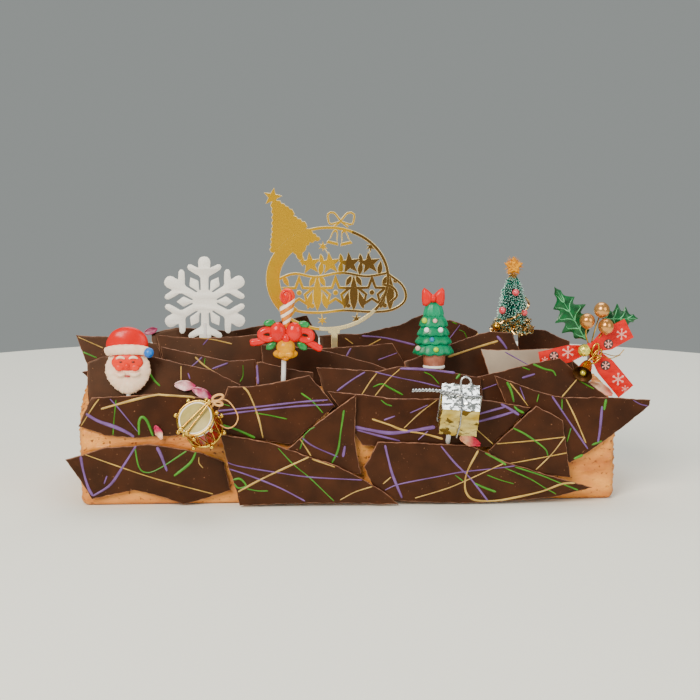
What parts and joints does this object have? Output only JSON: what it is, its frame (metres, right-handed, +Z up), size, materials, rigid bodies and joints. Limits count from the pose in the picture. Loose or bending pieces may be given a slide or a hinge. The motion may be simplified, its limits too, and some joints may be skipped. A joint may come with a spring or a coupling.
{
  "type": "yule log cake",
  "caption": "Frosted log-shaped cake tiled with broken dark chocolate plates with drizzled lines, and decorated with festive picks and a gold topper.",
  "frame": {"origin": "centre of the log's flat underside", "axes": "+X along the log to the right, +Y to the back, +Z up"},
  "size_m": [0.395, 0.1689, 0.207],
  "materials": {
    "frosting": "spread buttercream, matte and uneven",
    "dark_chocolate": "thin tempered dark chocolate, satin",
    "pale_chocolate": "dark chocolate with a pale bloom",
    "mirror_gold": "mirror gold sheet",
    "white_plastic": "white glittered board",
    "red_plastic": "painted soft plastic",
    "red_ribbon": "printed felt ribbon",
    "clay_green": "polymer clay",
    "bristle_green": "wound bristles with frosted tips",
    "leaf_green": "moulded leaf",
    "berry_gold": "pearl gold lacquer",
    "silver_foil": "crumpled foil",
    "dried_petal": "dried rose petal"
  },
  "bodies": {
    "root": {"frosted_log": "frosting", "front_plate_1": "dark_chocolate", "front_plate_2": "dark_chocolate", "front_plate_3": "dark_chocolate", "shoulder_plate_1": "dark_chocolate", "shoulder_plate_2": "dark_chocolate", "shoulder_plate_3": "dark_chocolate", "shoulder_plate_4": "dark_chocolate", "shoulder_plate_5": "dark_chocolate", "shoulder_plate_6": "dark_chocolate", "crown_plate_1": "dark_chocolate", "crown_plate_2": "dark_chocolate", "crown_plate_3": "dark_chocolate", "crown_plate_4": "dark_chocolate", "crown_plate_5": "dark_chocolate", "crown_plate_6": "dark_chocolate", "crown_plate_7": "pale_chocolate", "crown_plate_8": "dark_chocolate", "crown_plate_9": "dark_chocolate", "crown_plate_10": "dark_chocolate", "crown_plate_11": "dark_chocolate", "crown_plate_12": "dark_chocolate", "crown_plate_13": "dark_chocolate", "crown_plate_14": "dark_chocolate", "crown_plate_15": "dark_chocolate", "back_plate_1": "dark_chocolate", "back_plate_2": "dark_chocolate", "back_plate_3": "dark_chocolate", "back_plate_4": "dark_chocolate", "back_shoulder_plate_1": "dark_chocolate", "back_shoulder_plate_2": "dark_chocolate", "back_shoulder_plate_3": "dark_chocolate", "back_shoulder_plate_4": "dark_chocolate", "back_shoulder_plate_5": "dark_chocolate", "bearded_head_pick": "red_plastic", "snowflake_pick": "white_plastic", "gold_topper": "mirror_gold", "candle_pick": "red_plastic", "clay_tree_pick": "clay_green", "brush_tree_pick": "bristle_green", "brush_tree_star": "mirror_gold", "holly_leaf_left": "leaf_green", "holly_leaf_right": "leaf_green", "holly_berry_1": "berry_gold", "holly_berry_2": "berry_gold", "holly_berry_3": "berry_gold", "holly_ribbon": "red_ribbon", "holly_bell": "berry_gold", "holly_flower": "berry_gold", "toy_drum_pick": "mirror_gold", "gift_box_pick": "silver_foil", "petal_1": "dried_petal", "petal_2": "dried_petal", "petal_3": "dried_petal", "petal_4": "dried_petal", "petal_5": "dried_petal", "petal_6": "dried_petal"}
  },
  "joints": []
}
